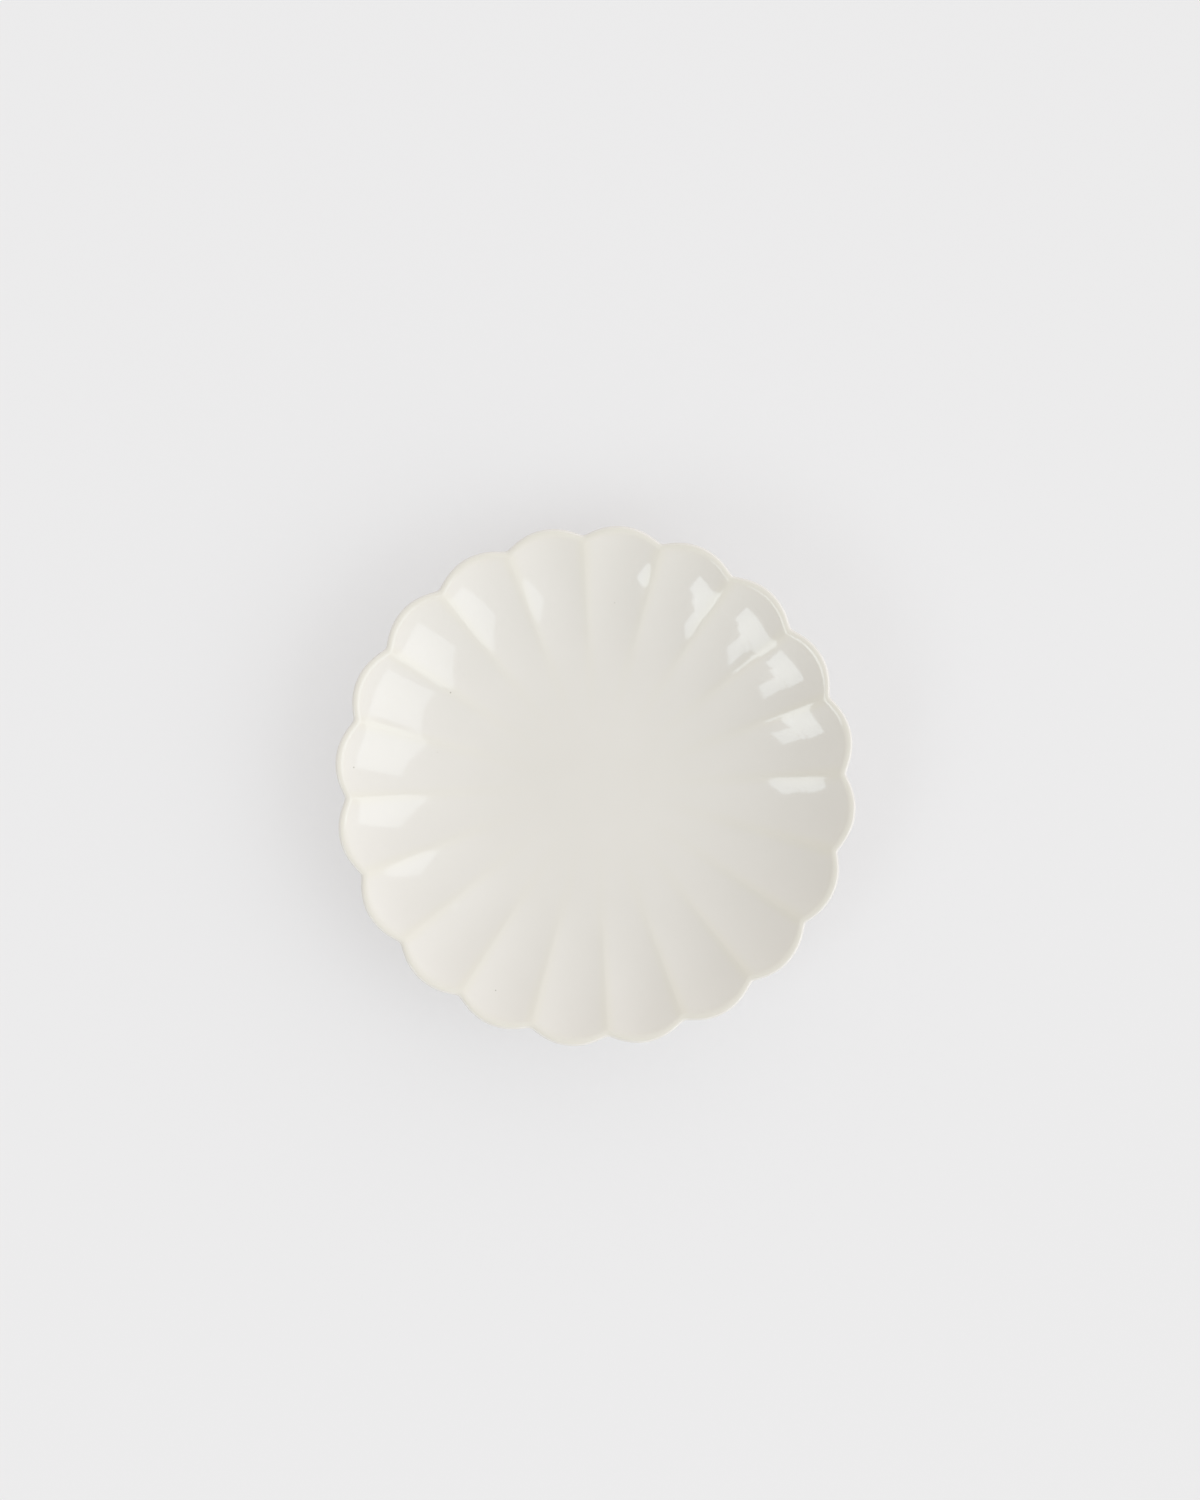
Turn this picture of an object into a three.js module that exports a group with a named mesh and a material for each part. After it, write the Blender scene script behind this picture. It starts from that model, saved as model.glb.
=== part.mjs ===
// Chrysanthemum plate: a round ceramic dish pressed into petals, standing on a ring of clay.
// Millimetres, +Z up. The origin is the centre of the plane that the foot stands on.
// +X runs out through the middle of a petal.

import * as THREE from "three";

// Dish
const PETALS = 20;
const RIM_DIAMETER = 160; // over the tips of opposite petals
const HEIGHT = 28; // from the table to the top of the lip
const NOTCH_DEPTH = 3.05; // how far the outline steps in between two petals
const LIP_SHOULDER_RADIUS = 2.8; // the face rolls over this round to the top of the lip
const LIP_EDGE_RADIUS = 0.75; // outer edge of the lip, from its top to its outermost line
const LIP_UNDER_RADIUS = 1.8; // from the outermost line round to the back
const LIP_DIP = 1.1; // how much lower the lip is between two petals
const WELL_DIAMETER = 32; // level middle of the dished floor
const BEND_DIAMETER = 109; // circle level with the floor at which the lip end of a ridge points
const HOLLOW_SETBACK = 5.5; // the lip end of a petal's hollow points this much further out
const FLOOR_THICKNESS = 5;
const BULGE_SETBACK = 5; // on the back, a petal's bulge starts this much further out than a groove

// Foot ring
const FOOT_HEIGHT = 6;
const FOOT_DIAMETER = 84; // outside, where the wall meets its fillet
const FOOT_WIDTH = 5.2; // wall thickness just under the fillets
const FOOT_DRAFT = 0.6; // how far each wall leans in towards the standing edge
const FOOT_EDGE_RADIUS = 0.9; // rounding on both sides of the standing edge
const FOOT_FILLET = 1.2; // clay worked into the corner between ring and dish
const FOOT_MARGIN = 0.8; // flat underside left outside the fillet

// Facets
const SECTIONS_PER_PETAL = 8;
const FACE_STEPS = 9;
const LIP_STEPS = 2; // in each of the lip's three arcs
const BACK_STEPS = 7;
const FOOT_SEGMENTS = 80;
const FOOT_ARC_STEPS = 4;

const QUARTER_TURN = Math.PI / 2;
const UNDERSIDE = FOOT_HEIGHT;
const FLOOR = UNDERSIDE + FLOOR_THICKNESS;
const FOOT_OUTER_RADIUS = FOOT_DIAMETER / 2;
const FOOT_INNER_RADIUS = FOOT_OUTER_RADIUS - FOOT_WIDTH;

// Arc in a half section, anticlockwise if the angle grows and clockwise if it falls.
function arc(x, z, radius, from, to) {
  return new THREE.EllipseCurve(x, z, radius, radius, from, to, to < from);
}

// Points along curves that join end to end, each given with its number of steps.
function pointsAlong(curves) {
  const start = curves[0][0].getPoint(0);
  return [start, ...curves.flatMap(([curve, steps]) => curve.getPoints(steps).slice(1))];
}

// How full the petals are at an angle round the plate: 1 along the middle of a petal, 0 on a ridge.
function petalFullness(angle) {
  const turns = (angle * PETALS) / (2 * Math.PI);
  const fromMiddle = 2 * (turns - Math.round(turns));
  return 1 - fromMiddle ** 2;
}

// Half section of the dish, from the middle of the floor over the lip to the middle of the underside.
// The face leaves the well level and steepens evenly until it rolls over the shoulder of the lip. The
// back leaves the lip at the same slope and levels out beside the foot.
function dishSection(fullness) {
  const rimX = RIM_DIAMETER / 2 - NOTCH_DEPTH * (1 - fullness);
  const lipX = rimX - LIP_EDGE_RADIUS;
  const lipTop = HEIGHT - LIP_DIP * (1 - fullness);
  const shoulderZ = lipTop - LIP_SHOULDER_RADIUS;
  const edgeZ = lipTop - LIP_EDGE_RADIUS;
  const faceBend = BEND_DIAMETER / 2 + HOLLOW_SETBACK * fullness;
  const run = lipX - faceBend;
  const rise = shoulderZ - FLOOR;
  const rimSlope = Math.atan2(rise, run) + Math.asin(LIP_SHOULDER_RADIUS / Math.hypot(run, rise));

  const shoulder = arc(lipX, shoulderZ, LIP_SHOULDER_RADIUS, rimSlope + QUARTER_TURN, QUARTER_TURN);
  const lipOutside = arc(lipX, edgeZ, LIP_EDGE_RADIUS, QUARTER_TURN, 0);
  const lipUnder = arc(rimX - LIP_UNDER_RADIUS, edgeZ, LIP_UNDER_RADIUS, 0, rimSlope - QUARTER_TURN);

  const face = new THREE.QuadraticBezierCurve(
    new THREE.Vector2(WELL_DIAMETER / 2, FLOOR),
    new THREE.Vector2(faceBend, FLOOR),
    shoulder.getPoint(0),
  );

  const backTop = lipUnder.getPoint(1);
  const backBend = backTop.x - (backTop.y - UNDERSIDE) / Math.tan(rimSlope);
  const backEnd = FOOT_OUTER_RADIUS + FOOT_FILLET + FOOT_MARGIN + BULGE_SETBACK * fullness;
  const back = new THREE.QuadraticBezierCurve(
    backTop,
    new THREE.Vector2(backBend, UNDERSIDE),
    new THREE.Vector2(backEnd, UNDERSIDE),
  );

  const overTheLip = pointsAlong([
    [face, FACE_STEPS],
    [shoulder, LIP_STEPS],
    [lipOutside, LIP_STEPS],
    [lipUnder, LIP_STEPS],
    [back, BACK_STEPS],
  ]);
  return [new THREE.Vector2(0, FLOOR), ...overTheLip, new THREE.Vector2(0, UNDERSIDE)];
}

// Closed skin over half sections spread evenly round +Z. Each section starts on the axis above and
// ends on it below, and each four-sided facet is split along its shorter diagonal.
function loftRound(sections) {
  const rings = sections[0].length - 2;
  const vertices = [];
  sections.forEach((section, i) => {
    const angle = (2 * Math.PI * i) / sections.length;
    for (const point of section.slice(1, -1)) {
      vertices.push(new THREE.Vector3(point.x * Math.cos(angle), point.x * Math.sin(angle), point.y));
    }
  });
  const top = vertices.length;
  const bottom = top + 1;
  vertices.push(new THREE.Vector3(0, 0, sections[0].at(0).y));
  vertices.push(new THREE.Vector3(0, 0, sections[0].at(-1).y));

  const triangles = [];
  for (let i = 0; i < sections.length; i++) {
    const here = i * rings;
    const next = ((i + 1) % sections.length) * rings;
    triangles.push(top, here, next);
    for (let j = 0; j < rings - 1; j++) {
      const [a, b, c, d] = [here + j, here + j + 1, next + j + 1, next + j];
      if (vertices[a].distanceTo(vertices[c]) < vertices[b].distanceTo(vertices[d])) {
        triangles.push(a, b, c, a, c, d);
      } else {
        triangles.push(a, b, d, b, c, d);
      }
    }
    triangles.push(bottom, next + rings - 1, here + rings - 1);
  }
  const geometry = new THREE.BufferGeometry().setFromPoints(vertices).setIndex(triangles);
  geometry.computeVertexNormals();
  return geometry;
}

function dishGeometry() {
  const count = PETALS * SECTIONS_PER_PETAL;
  const sections = [];
  for (let i = 0; i < count; i++) {
    sections.push(dishSection(petalFullness((2 * Math.PI * i) / count)));
  }
  return loftRound(sections);
}

// The ring's section has a flat top against the dish with a fillet on both sides of it, walls that
// lean in a little, and a rounded edge with a flat to stand on.
function footGeometry() {
  const innerFillet = FOOT_INNER_RADIUS - FOOT_FILLET;
  const outerFillet = FOOT_OUTER_RADIUS + FOOT_FILLET;
  const filletZ = FOOT_HEIGHT - FOOT_FILLET;
  const innerEdge = FOOT_INNER_RADIUS + FOOT_DRAFT + FOOT_EDGE_RADIUS;
  const outerEdge = FOOT_OUTER_RADIUS - FOOT_DRAFT - FOOT_EDGE_RADIUS;
  const arcs = [
    arc(innerFillet, filletZ, FOOT_FILLET, QUARTER_TURN, 0),
    arc(innerEdge, FOOT_EDGE_RADIUS, FOOT_EDGE_RADIUS, -2 * QUARTER_TURN, -QUARTER_TURN),
    arc(outerEdge, FOOT_EDGE_RADIUS, FOOT_EDGE_RADIUS, -QUARTER_TURN, 0),
    arc(outerFillet, filletZ, FOOT_FILLET, 2 * QUARTER_TURN, QUARTER_TURN),
  ];
  const profile = arcs.flatMap((curve) => curve.getPoints(FOOT_ARC_STEPS));
  profile.push(profile[0]);
  return new THREE.LatheGeometry(profile, FOOT_SEGMENTS).rotateX(QUARTER_TURN);
}

const glazedClay = new THREE.MeshStandardMaterial({ color: 0xdedbd3, roughness: 0.12, metalness: 0 });
const bareClay = new THREE.MeshStandardMaterial({ color: 0xd8cdb9, roughness: 0.8, metalness: 0 });

const dish = new THREE.Mesh(dishGeometry(), glazedClay);
dish.name = "dish";

const footRing = new THREE.Mesh(footGeometry(), bareClay);
footRing.name = "foot_ring";

const plate = new THREE.Group();
plate.add(dish, footRing);

export default plate;
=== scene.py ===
import math

import bmesh
import bpy
from mathutils import Matrix, Vector


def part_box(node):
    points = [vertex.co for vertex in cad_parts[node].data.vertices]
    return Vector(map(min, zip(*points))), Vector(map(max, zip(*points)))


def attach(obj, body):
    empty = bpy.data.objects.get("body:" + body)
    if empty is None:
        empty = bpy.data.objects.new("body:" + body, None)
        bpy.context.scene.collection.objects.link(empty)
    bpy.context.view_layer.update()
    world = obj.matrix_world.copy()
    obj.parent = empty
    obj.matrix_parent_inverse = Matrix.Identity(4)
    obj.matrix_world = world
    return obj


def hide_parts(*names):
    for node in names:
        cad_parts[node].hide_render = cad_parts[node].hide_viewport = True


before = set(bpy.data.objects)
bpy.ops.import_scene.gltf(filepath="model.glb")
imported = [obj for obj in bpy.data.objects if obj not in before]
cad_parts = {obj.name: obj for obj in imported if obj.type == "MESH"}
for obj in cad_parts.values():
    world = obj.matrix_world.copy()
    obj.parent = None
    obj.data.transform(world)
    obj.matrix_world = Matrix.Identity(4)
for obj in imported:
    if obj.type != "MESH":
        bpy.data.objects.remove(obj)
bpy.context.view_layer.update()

# Dish
# White stoneware clay pressed into a mould of twenty petals: a dished floor, a wall of hollows with a
# ridge between each two, and a lip rounded with a wet sponge. The back follows the face. The whole
# dish is dipped in milky glaze, which pools in the hollows and pulls thin over the ridges and lip.
MM = 0.001
PETALS = 20
NOTCH_DEPTH = 3.05 * MM
LIP_SHOULDER_RADIUS = 2.8 * MM  # from the face to the top of the lip
LIP_EDGE_RADIUS = 0.75 * MM  # from the top of the lip to its outermost line
LIP_UNDER_RADIUS = 1.8 * MM  # from the outermost line to the back
LIP_DIP = 1.1 * MM  # how much lower the lip is between two petals
WELL_RADIUS = 16 * MM
BEND_RADIUS = 54.5 * MM  # where the lip end of a ridge would meet the level of the floor
HOLLOW_SETBACK = 5.5 * MM  # how much further out that is for the hollow of a petal
BULGE_SETBACK = 5 * MM  # how much further out a petal starts on the back than a groove
FLOOR_THICKNESS = 5 * MM
BACK_MARGIN = 0.8 * MM
RIDGE_ROUND = 1 * MM
RIDGE_SOFTNESS = 4  # how many times rounder a ridge is where it starts on the floor
FLUTE_START = 28 * MM  # radius at which the petals start to show on the floor
FLUTE_FULL = 56 * MM  # radius at which they have their full depth
THINNEST = 0.35  # how far the thinnest glaze goes towards cream
THIN_ON_RIDGE = 0.14  # half width of the thin line on a ridge, as a share of half a petal
THIN_ON_LIP = 2 * MM
STEPS_PER_PETAL = 24
FACE_STEPS = 40
LIP_STEPS = 10
EDGE_STEPS = 8
BACK_STEPS = 30
QUARTER_TURN = math.pi / 2
PETAL_ANGLE = 2 * math.pi / PETALS

dish_low, dish_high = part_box("dish")
foot_low, foot_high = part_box("foot_ring")
RIM_RADIUS = dish_high.x
LIP_TOP = dish_high.z
UNDERSIDE = dish_low.z
FLOOR = UNDERSIDE + FLOOR_THICKNESS
BACK_START = foot_high.x + BACK_MARGIN


def arc_points(x, z, radius, start, end, steps):
    """Points along an arc in the XZ plane, its first point left out."""
    angles = [start + (end - start) * step / steps for step in range(1, steps + 1)]
    return [Vector((x + radius * math.cos(a), 0, z + radius * math.sin(a))) for a in angles]


def bend_points(start, bend, end, steps):
    """Points along a curve that leaves its start and reaches its end in line with the bend point."""
    shares = [step / steps for step in range(1, steps + 1)]
    return [start.lerp(bend, share).lerp(bend.lerp(end, share), share) for share in shares]


def dish_section(fullness):
    """Half section from the middle of the floor over the lip to the middle of the underside.

    Fullness is 1 along the middle of a petal and 0 on a ridge.
    """
    rim_x = RIM_RADIUS - NOTCH_DEPTH * (1 - fullness)
    lip_x = rim_x - LIP_EDGE_RADIUS
    lip_top = LIP_TOP - LIP_DIP * (1 - fullness)
    edge_z = lip_top - LIP_EDGE_RADIUS
    shoulder = Vector((lip_x, 0, lip_top - LIP_SHOULDER_RADIUS))
    under = Vector((rim_x - LIP_UNDER_RADIUS, 0, edge_z))
    face_bend = Vector((BEND_RADIUS + HOLLOW_SETBACK * fullness, 0, FLOOR))
    run = lip_x - face_bend.x
    rise = shoulder.z - FLOOR
    rim_slope = math.atan2(rise, run) + math.asin(LIP_SHOULDER_RADIUS / math.hypot(run, rise))
    steepest = rim_slope + QUARTER_TURN
    outwards = Vector((math.sin(rim_slope), 0, -math.cos(rim_slope)))
    face_end = shoulder - outwards * LIP_SHOULDER_RADIUS
    back_top = under + outwards * LIP_UNDER_RADIUS
    back_bend = Vector((back_top.x - (back_top.z - UNDERSIDE) / math.tan(rim_slope), 0, UNDERSIDE))
    back_end = Vector((BACK_START + BULGE_SETBACK * fullness, 0, UNDERSIDE))
    points = [Vector((0, 0, FLOOR)), Vector((WELL_RADIUS, 0, FLOOR))]
    points += bend_points(points[-1], face_bend, face_end, FACE_STEPS)
    points += arc_points(lip_x, shoulder.z, LIP_SHOULDER_RADIUS, steepest, QUARTER_TURN, LIP_STEPS)
    points += arc_points(lip_x, edge_z, LIP_EDGE_RADIUS, QUARTER_TURN, 0, EDGE_STEPS)
    points += arc_points(under.x, edge_z, LIP_UNDER_RADIUS, 0, rim_slope - QUARTER_TURN, EDGE_STEPS)
    points += bend_points(back_top, back_bend, back_end, BACK_STEPS)
    points += [Vector((0, 0, UNDERSIDE))]
    return points


def spin_round(bm, steps):
    """Spins a half section once round the plate's axis, and welds its seam and its ends on the axis."""
    bmesh.ops.spin(
        bm,
        geom=bm.verts[:] + bm.edges[:],
        cent=(0, 0, 0),
        axis=(0, 0, 1),
        angle=2 * math.pi,
        steps=steps,
        use_merge=True,
    )
    bmesh.ops.remove_doubles(bm, verts=bm.verts[:], dist=0.001 * MM)


def add_object(bm, name):
    """Turns a bmesh into a smooth object in the scene."""
    for face in bm.faces:
        face.smooth = True
    mesh = bpy.data.meshes.new(name)
    bm.to_mesh(mesh)
    bm.free()
    piece = bpy.data.objects.new(name, mesh)
    bpy.context.scene.collection.objects.link(piece)
    return piece


bm = bmesh.new()
to_ridge = bm.verts.layers.float_vector.new("to_ridge")
on_face = bm.verts.layers.float.new("on_face")
from_lip = bm.verts.layers.float.new("from_lip")
thin_glaze = bm.verts.layers.float.new("thin_glaze")
middle_section = dish_section(1)
face_count = 2 + FACE_STEPS + LIP_STEPS
for index, (middle, ridge) in enumerate(zip(middle_section, dish_section(0))):
    vert = bm.verts.new(middle)
    vert[to_ridge] = ridge - middle
    vert[on_face] = index < face_count
    vert[from_lip] = (middle - middle_section[face_count - 1]).length
bm.verts.ensure_lookup_table()
for index in range(len(middle_section) - 1):
    bm.edges.new((bm.verts[index], bm.verts[index + 1]))
spin_round(bm, PETALS * STEPS_PER_PETAL)

# The revolved dish is pressed into petals: each point moves from the middle of a petal towards the
# ridge section, and the steps round a petal crowd together at the ridges.
for vert in bm.verts:
    radius = math.hypot(vert.co.x, vert.co.y)
    if radius < MM:
        continue
    turns = math.atan2(vert.co.y, vert.co.x) / PETAL_ANGLE
    petal = round(turns)
    across = math.sin(QUARTER_TURN * 2 * (turns - petal))
    angle = (petal + across / 2) * PETAL_ANGLE
    rise = min(max((radius - FLUTE_START) / (FLUTE_FULL - FLUTE_START), 0), 1)
    flute = rise**2 * (3 - 2 * rise)
    softness = RIDGE_SOFTNESS + (1 - RIDGE_SOFTNESS) * flute
    crest = RIDGE_ROUND * softness / (radius * PETAL_ANGLE / 2)
    from_ridge = math.hypot(1 - abs(across), crest) - crest
    from_ridge /= math.hypot(1, crest) - crest
    shift = vert[to_ridge] * (1 - from_ridge) ** 2 * flute
    radius += shift.x
    height = vert.co.z + shift.z
    vert.co = (radius * math.cos(angle), radius * math.sin(angle), height)
    wall = min(max((height - FLOOR) / (LIP_TOP - FLOOR), 0), 1)
    ridge = math.exp(-((from_ridge / THIN_ON_RIDGE) ** 2)) * wall**0.5
    lip = math.exp(-((vert[from_lip] / THIN_ON_LIP) ** 2))
    vert[thin_glaze] = THINNEST * max(ridge, lip) * vert[on_face]

bmesh.ops.recalc_face_normals(bm, faces=bm.faces[:])
dish = add_object(bm, "dish_glazed")


def linear(hex_colour):
    """Linear RGBA of an sRGB hex colour."""
    channels = [int(hex_colour[i : i + 2], 16) / 255 for i in (1, 3, 5)]
    return [c / 12.92 if c <= 0.04045 else ((c + 0.055) / 1.055) ** 2.4 for c in channels] + [1]


def add_node(tree, kind, inputs, **settings):
    """Adds a shader node. Each input is a value, or the output that feeds it."""
    node = tree.nodes.new("ShaderNode" + kind)
    for name, value in settings.items():
        setattr(node, name, value)
    for name, value in inputs.items():
        if isinstance(value, bpy.types.NodeSocket):
            tree.links.new(value, node.inputs[name])
        else:
            node.inputs[name].default_value = value
    return node


def empty_tree(owner):
    """Node tree of a material or world, with nothing in it yet."""
    owner.use_nodes = True
    owner.node_tree.nodes.clear()
    return owner.node_tree


# Milky stoneware glaze: a glossy melted coat that looks soft white where it is thick and lets the
# cream clay through where it is thin. Fine ripples bend its reflections, and a few specks show.
GLAZE_ROUGHNESS = 0.07
GLAZE_IOR = 1.55
CLOUD_SIZE = 22 * MM  # patches of slightly thicker and thinner glaze
RIPPLE_LENGTH = 9 * MM
RIPPLE_HEIGHT = 0.03 * MM
SPECK_SPACING = 14 * MM
SPECK_CORE = 0.15 * MM
SPECK_EDGE = 0.3 * MM
SPECK_STRENGTH = 0.7

milky_glaze = bpy.data.materials.new("milky_glaze")
tree = empty_tree(milky_glaze)
place = add_node(tree, "TexCoord", {}).outputs["Object"]
thin = add_node(tree, "Attribute", {}, attribute_name="thin_glaze").outputs["Fac"]
cloud = add_node(tree, "TexNoise", {"Vector": place, "Scale": 1 / CLOUD_SIZE, "Detail": 2})
thick_colour = add_node(
    tree,
    "Mix",
    {"Factor": cloud.outputs["Fac"], "A": linear("#DFDBD5"), "B": linear("#E3DFDA")},
    data_type="RGBA",
)
coat_colour = add_node(
    tree,
    "Mix",
    {"Factor": thin, "A": thick_colour.outputs["Result"], "B": linear("#E0DBCB")},
    data_type="RGBA",
)
near_speck = add_node(tree, "TexVoronoi", {"Vector": place, "Scale": 1 / SPECK_SPACING})
speck = add_node(
    tree,
    "MapRange",
    {
        "Value": near_speck.outputs["Distance"],
        "From Min": SPECK_EDGE / SPECK_SPACING,
        "From Max": SPECK_CORE / SPECK_SPACING,
        "To Max": SPECK_STRENGTH,
    },
    interpolation_type="SMOOTHSTEP",
)
glaze_colour = add_node(
    tree,
    "Mix",
    {"Factor": speck.outputs["Result"], "A": coat_colour.outputs["Result"], "B": linear("#8C8577")},
    data_type="RGBA",
)
ripple = add_node(tree, "TexNoise", {"Vector": place, "Scale": 1 / RIPPLE_LENGTH, "Detail": 1})
surface = add_node(
    tree, "Bump", {"Height": ripple.outputs["Fac"], "Strength": 1, "Distance": RIPPLE_HEIGHT}
)
shader = add_node(
    tree,
    "BsdfPrincipled",
    {
        "Base Color": glaze_colour.outputs["Result"],
        "Roughness": GLAZE_ROUGHNESS,
        "IOR": GLAZE_IOR,
        "Normal": surface.outputs["Normal"],
    },
)
add_node(tree, "OutputMaterial", {"Surface": shader.outputs["BSDF"]})
dish.data.materials.append(milky_glaze)
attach(dish, "root")
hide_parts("dish")

# Foot ring
# A low ring of the same clay, luted to the back with slip and smoothed into it. Its walls are glazed
# with the dish. The edge that it stands on is wiped bare before firing.
FOOT_WIDTH = 5.2 * MM
FOOT_DRAFT = 0.6 * MM  # how far each wall leans in towards the standing edge
FOOT_EDGE_RADIUS = 0.9 * MM
FOOT_FILLET = 1.2 * MM
FOOT_STEPS = 192
FILLET_STEPS = 8
FOOT_EDGE_STEPS = 6
FOOT_TOP = foot_high.z
FOOT_BOTTOM = foot_low.z
OUTER_WALL = foot_high.x - FOOT_FILLET
INNER_WALL = OUTER_WALL - FOOT_WIDTH
FILLET_Z = FOOT_TOP - FOOT_FILLET

inner_fillet = INNER_WALL - FOOT_FILLET
outer_fillet = OUTER_WALL + FOOT_FILLET
profile = [Vector((inner_fillet, 0, FOOT_TOP))]
profile += arc_points(inner_fillet, FILLET_Z, FOOT_FILLET, QUARTER_TURN, 0, FILLET_STEPS)
profile += [
    Vector((INNER_WALL + FOOT_DRAFT, 0, FOOT_BOTTOM)),
    Vector((OUTER_WALL - FOOT_DRAFT, 0, FOOT_BOTTOM)),
    Vector((OUTER_WALL, 0, FILLET_Z)),
]
profile += arc_points(outer_fillet, FILLET_Z, FOOT_FILLET, math.pi, QUARTER_TURN, FILLET_STEPS)
bm = bmesh.new()
corners = [bm.verts.new(point) for point in profile]
for index, vert in enumerate(corners):
    bm.edges.new((corners[index - 1], vert))
spin_round(bm, FOOT_STEPS)
bmesh.ops.recalc_face_normals(bm, faces=bm.faces[:])
standing = [e for e in bm.edges if all(v.co.z < FOOT_BOTTOM + 0.1 * MM for v in e.verts)]
bmesh.ops.bevel(
    bm,
    geom=[edge for edge in standing if edge.calc_face_angle() > 1],
    offset=FOOT_EDGE_RADIUS,
    affect="EDGES",
    segments=FOOT_EDGE_STEPS,
    profile=0.5,
    material=-1,
)
foot = add_object(bm, "foot_ring_wiped")

# Stoneware foot: glossy glaze on the walls that stops in a wavering line, and below it bare fired
# clay, which is warm, dry and finely gritty.
CLAY_ROUGHNESS = 0.8
GLAZE_LINE_LOW = 1.2 * MM
GLAZE_LINE_HIGH = 2.6 * MM
WAVER_LENGTH = 14 * MM
GLAZE_THICKNESS = 0.15 * MM
GRIT_SIZE = 0.7 * MM  # coarser than real grit, so that it shows
GRIT_HEIGHT = 0.12 * MM

foot_clay = bpy.data.materials.new("foot_clay")
tree = empty_tree(foot_clay)
place = add_node(tree, "TexCoord", {}).outputs["Object"]
height = add_node(tree, "SeparateXYZ", {"Vector": place}).outputs["Z"]
waver = add_node(tree, "TexNoise", {"Vector": place, "Scale": 1 / WAVER_LENGTH, "Detail": 2})
line = add_node(
    tree,
    "MapRange",
    {"Value": waver.outputs["Fac"], "To Min": GLAZE_LINE_LOW, "To Max": GLAZE_LINE_HIGH},
)
above = add_node(tree, "Math", {0: height, 1: line.outputs["Result"]}, operation="SUBTRACT")
glazed = add_node(
    tree,
    "MapRange",
    {"Value": above.outputs["Value"], "From Min": -0.1 * MM, "From Max": 0.15 * MM},
    interpolation_type="SMOOTHSTEP",
)
grit = add_node(tree, "TexNoise", {"Vector": place, "Scale": 1 / GRIT_SIZE, "Detail": 4})
clay_colour = add_node(
    tree,
    "Mix",
    {"Factor": grit.outputs["Fac"], "A": linear("#CDBFA6"), "B": linear("#E0D5BF")},
    data_type="RGBA",
)
foot_colour = add_node(
    tree,
    "Mix",
    {"Factor": glazed.outputs["Result"], "A": clay_colour.outputs["Result"], "B": linear("#E1DDD7")},
    data_type="RGBA",
)
gloss = add_node(
    tree,
    "MapRange",
    {"Value": glazed.outputs["Result"], "To Min": CLAY_ROUGHNESS, "To Max": GLAZE_ROUGHNESS},
)
step = add_node(
    tree, "Bump", {"Height": glazed.outputs["Result"], "Strength": 1, "Distance": GLAZE_THICKNESS}
)
bare = add_node(tree, "Math", {0: 1, 1: glazed.outputs["Result"]}, operation="SUBTRACT")
tooth = add_node(
    tree,
    "Bump",
    {
        "Height": grit.outputs["Fac"],
        "Strength": bare.outputs["Value"],
        "Distance": GRIT_HEIGHT,
        "Normal": step.outputs["Normal"],
    },
)
shader = add_node(
    tree,
    "BsdfPrincipled",
    {
        "Base Color": foot_colour.outputs["Result"],
        "Roughness": gloss.outputs["Result"],
        "IOR": GLAZE_IOR,
        "Normal": tooth.outputs["Normal"],
    },
)
add_node(tree, "OutputMaterial", {"Surface": shader.outputs["BSDF"]})
foot.data.materials.append(foot_clay)
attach(foot, "root")
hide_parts("foot_ring")

# Studio
# A pale paper floor in an even room that is brighter towards the right of the picture, with a soft
# light low on the right and a crisp window on the lower left.
SHEET_RADIUS = 5
SHEET_LIFT = 0.5  # how far the camera sees the paper's own colour, which keeps the shadow light
PAPER = linear("#EBEAEB")

bm = bmesh.new()
bmesh.ops.create_circle(bm, cap_ends=True, radius=SHEET_RADIUS, segments=64)
floor = add_object(bm, "floor")

# Matt paper: even, without sheen, and pale enough to keep the shadow soft.
paper = bpy.data.materials.new("pale_paper")
tree = empty_tree(paper)
sheet = add_node(tree, "BsdfDiffuse", {"Color": PAPER})
plain = add_node(tree, "Emission", {"Color": PAPER, "Strength": 1})
seen = add_node(tree, "LightPath", {}).outputs["Is Camera Ray"]
lifted = add_node(tree, "Math", {0: seen, 1: SHEET_LIFT}, operation="MULTIPLY")
shader = add_node(
    tree,
    "MixShader",
    {"Fac": lifted.outputs["Value"], 1: sheet.outputs["BSDF"], 2: plain.outputs["Emission"]},
)
add_node(tree, "OutputMaterial", {"Surface": shader.outputs["Shader"]})
floor.data.materials.append(paper)

PICTURE_TURN = math.radians(6.2)
LIGHT_DISTANCE = 6
WATTS_PER_RADIANCE = 4  # for each square metre of a lamp
ROOM_RADIANCE = 0.642
HORIZON_RADIANCE = 0.55
ROOM_GRADIENT = 0.44


def direction(azimuth, elevation):
    """Unit vector towards a direction given in degrees, its azimuth counted in the picture."""
    turned = math.radians(azimuth) + PICTURE_TURN
    raised = math.radians(elevation)
    level = math.cos(raised)
    return Vector((level * math.cos(turned), level * math.sin(turned), math.sin(raised)))


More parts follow.
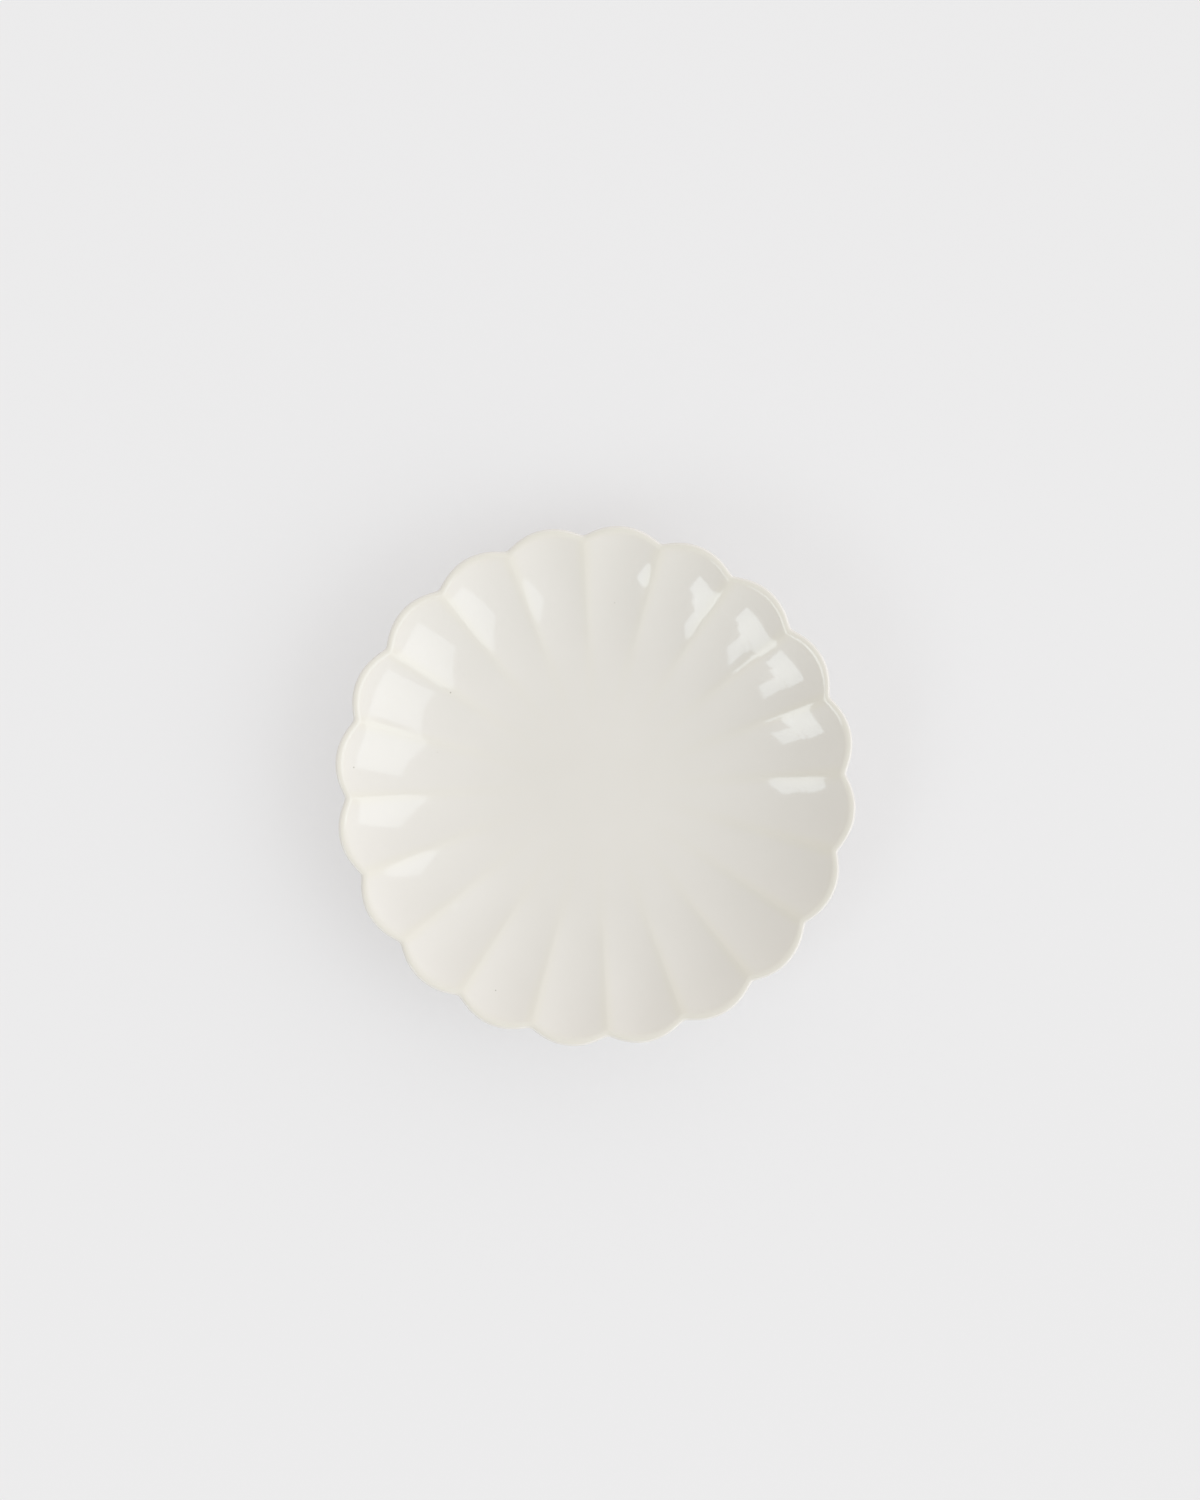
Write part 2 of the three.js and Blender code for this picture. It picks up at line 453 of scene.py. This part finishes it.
# The window, which narrows in steps towards its top, and the scrim on the right, each with its
# radiance and the azimuths and elevations that it covers from the plate.
for name, radiance, azimuths, elevations in (
    ("window_low", 2.05, (197, 238), (27.5, 41.5)),
    ("window_middle", 2, (197, 229), (41.5, 45)),
    ("window_high", 1.85, (197, 219), (45, 55.5)),
    ("scrim", 0.95, (310, 365), (22, 57)),
):
    towards = direction(sum(azimuths) / 2, sum(elevations) / 2)
    light = bpy.data.lights.new(name, "AREA")
    light.shape = "RECTANGLE"
    light.color = linear("#E8F6FF")[:3]
    half_width = math.radians(azimuths[1] - azimuths[0]) / 2
    half_height = math.radians(elevations[1] - elevations[0]) / 2
    light.size = 2 * LIGHT_DISTANCE * math.hypot(towards.x, towards.y) * math.tan(half_width)
    light.size_y = 2 * LIGHT_DISTANCE * math.tan(half_height)
    light.energy = WATTS_PER_RADIANCE * radiance * light.size * light.size_y
    lamp = bpy.data.objects.new(name, light)
    lamp.location = towards * LIGHT_DISTANCE
    lamp.rotation_euler = towards.to_track_quat("Z", "Y").to_euler()
    lamp.visible_camera = False
    bpy.context.scene.collection.objects.link(lamp)

# The room is brighter at the horizon and on the right, and glows softly round the two lights.
world = bpy.data.worlds.new("room")
tree = empty_tree(world)
towards = add_node(tree, "TexCoord", {}).outputs["Generated"]
bright_side = direction(20, 0)
brighter = bright_side * ROOM_GRADIENT - direction(0, 90) * HORIZON_RADIANCE
slope = add_node(tree, "VectorMath", {0: towards, 1: brighter}, operation="DOT_PRODUCT")
level = ROOM_RADIANCE + HORIZON_RADIANCE
room = add_node(tree, "Math", {0: slope.outputs["Value"], 1: level}, operation="ADD")
lit = room.outputs["Value"]
for centre, reach, radiance in ((direction(341, 40), 22, 0.27), (direction(217, 38), 16, 0.65)):
    near = add_node(tree, "VectorMath", {0: towards, 1: centre}, operation="DOT_PRODUCT")
    glow = add_node(
        tree,
        "MapRange",
        {
            "Value": near.outputs["Value"],
            "From Min": math.cos(math.radians(reach)),
            "From Max": math.cos(math.radians(reach / 4)),
            "To Max": radiance,
        },
        interpolation_type="SMOOTHSTEP",
    )
    lit = add_node(tree, "Math", {0: lit, 1: glow.outputs["Result"]}, operation="ADD").outputs["Value"]
aside = add_node(tree, "VectorMath", {0: towards, 1: bright_side / 2}, operation="DOT_PRODUCT")
share = add_node(tree, "Math", {0: aside.outputs["Value"], 1: 0.5}, operation="ADD")
tint = add_node(
    tree,
    "Mix",
    {"Factor": share.outputs["Value"], "A": linear("#FFFBF2"), "B": linear("#FFFFFF")},
    data_type="RGBA",
)
lighting = add_node(tree, "Background", {"Color": tint.outputs["Result"], "Strength": lit})
backdrop = add_node(tree, "Background", {"Color": linear("#EFEEEE"), "Strength": 1})
seen = add_node(tree, "LightPath", {}).outputs["Is Camera Ray"]
shader = add_node(
    tree,
    "MixShader",
    {"Fac": seen, 1: lighting.outputs["Background"], 2: backdrop.outputs["Background"]},
)
add_node(tree, "OutputWorld", {"Surface": shader.outputs["Shader"]})
bpy.context.scene.world = world
bpy.context.scene.view_settings.view_transform = "Standard"

# Camera
# A long lens straight above the plate, which lies a little below the middle of the picture. The
# picture is taken as 1200 by 1500 pixels.
PICTURE_HEIGHT = 1500
PICTURE_CENTRE = (600, 750)
PLATE_CENTRE = (595.6, 786)
RIM_PIXELS = 261.5

camera_data = bpy.data.cameras.new("camera")
camera_data.lens = 85
camera_data.sensor_width = 36
camera = bpy.data.objects.new("camera", camera_data)
pixel = RIM_RADIUS / RIM_PIXELS
distance = pixel * PICTURE_HEIGHT * camera_data.lens / camera_data.sensor_width
aside = Vector((PICTURE_CENTRE[0] - PLATE_CENTRE[0], PLATE_CENTRE[1] - PICTURE_CENTRE[1], 0)) * pixel
camera.location = Matrix.Rotation(PICTURE_TURN, 4, "Z") @ aside + Vector((0, 0, LIP_TOP + distance))
camera.rotation_euler = (0, 0, PICTURE_TURN)
bpy.context.scene.collection.objects.link(camera)
bpy.context.scene.camera = camera
